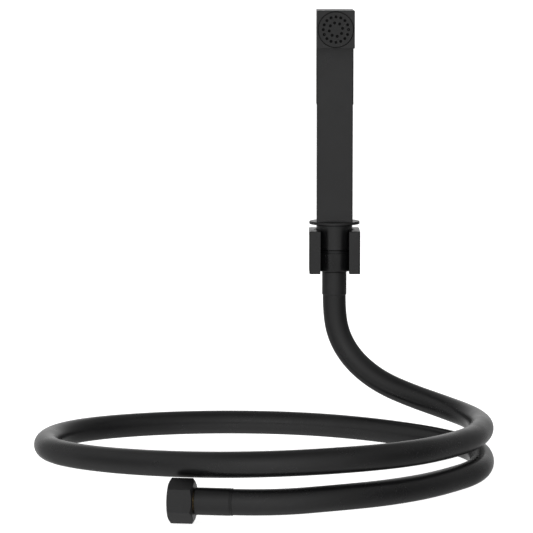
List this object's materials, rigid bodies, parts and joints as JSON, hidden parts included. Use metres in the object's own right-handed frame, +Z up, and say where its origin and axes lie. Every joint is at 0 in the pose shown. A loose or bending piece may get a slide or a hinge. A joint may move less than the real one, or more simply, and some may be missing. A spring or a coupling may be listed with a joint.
{
  "type": "handheld shower head",
  "caption": "Slim square handheld shower head resting in a slotted wall bracket, with its flexible hose looped below and a hexagon coupling nut on the hose's end.",
  "frame": {"origin": "centre of the bracket's wall face", "axes": "+Z up along the handset, +Y into the wall, +X to the right for a person who faces the wall"},
  "size_m": [0.3026, 0.3531, 0.3029],
  "materials": {
    "black_metal": "matte black coating on brass",
    "black_plastic": "matte black moulding",
    "black_hose": "satin black flexible PVC",
    "clear_liner": "translucent flexible liner",
    "steel": "stainless",
    "brass": "machined",
    "rubber": "moulded",
    "silicone": "soft matte silicone",
    "white_plastic": "natural acetal"
  },
  "bodies": {
    "bracket": {"bracket_body": "black_metal", "bracket_liner": "black_plastic", "wall_plate": "steel", "wall_screws": "steel", "bracket_set_screw": "steel"},
    "hose": {"hose_cover": "black_hose", "hose_liner": "clear_liner", "upper_hose_tail": "brass", "swivel_washer": "white_plastic", "upper_ferrule": "black_metal", "lower_ferrule": "black_metal", "lower_hose_tail": "brass", "hose_washer": "rubber"},
    "handset": {"handle_shell": "black_metal", "head_housing": "black_metal", "head_block": "black_metal", "spray_face": "black_plastic", "nozzle_plate": "silicone", "diffuser_plate": "white_plastic", "face_o_ring": "rubber", "head_manifold": "white_plastic", "manifold_o_ring": "rubber", "head_block_screws": "steel", "water_tube": "white_plastic", "tube_o_rings": "rubber", "inlet_connector": "black_metal", "handle_grub_screw": "steel", "inlet_filter": "steel", "flow_regulator": "white_plastic", "check_valve_body": "white_plastic", "check_valve_spring": "steel", "inlet_washer": "rubber", "cone_nut": "black_metal"},
    "check_poppet": {"check_valve_poppet": "white_plastic"},
    "hose_end_nut": {"hex_nut": "black_metal"}
  },
  "joints": [
    {"name": "handset_lift", "type": "slide", "parent": "bracket", "child": "hose", "axis": [0, 0, 1], "range_m": [0, 0.032]},
    {"name": "handset_swivel", "type": "hinge", "parent": "hose", "child": "handset", "pos_m": [0, -0.0175, 0], "axis": [0, 0, 1], "continuous": true},
    {"name": "check_valve_travel", "type": "slide", "parent": "handset", "child": "check_poppet", "axis": [0, 0, 1], "range_m": [0, 0.002], "stiffness_N_per_m": 60, "springref_m": -0.002, "deforming": ["check_valve_spring"]},
    {"name": "hex_nut_spin", "type": "hinge", "parent": "hose", "child": "hose_end_nut", "pos_m": [-0.0954, -0.31636, -0.1223], "axis": [-0.9895, 0.1443, 0], "continuous": true}
  ]
}
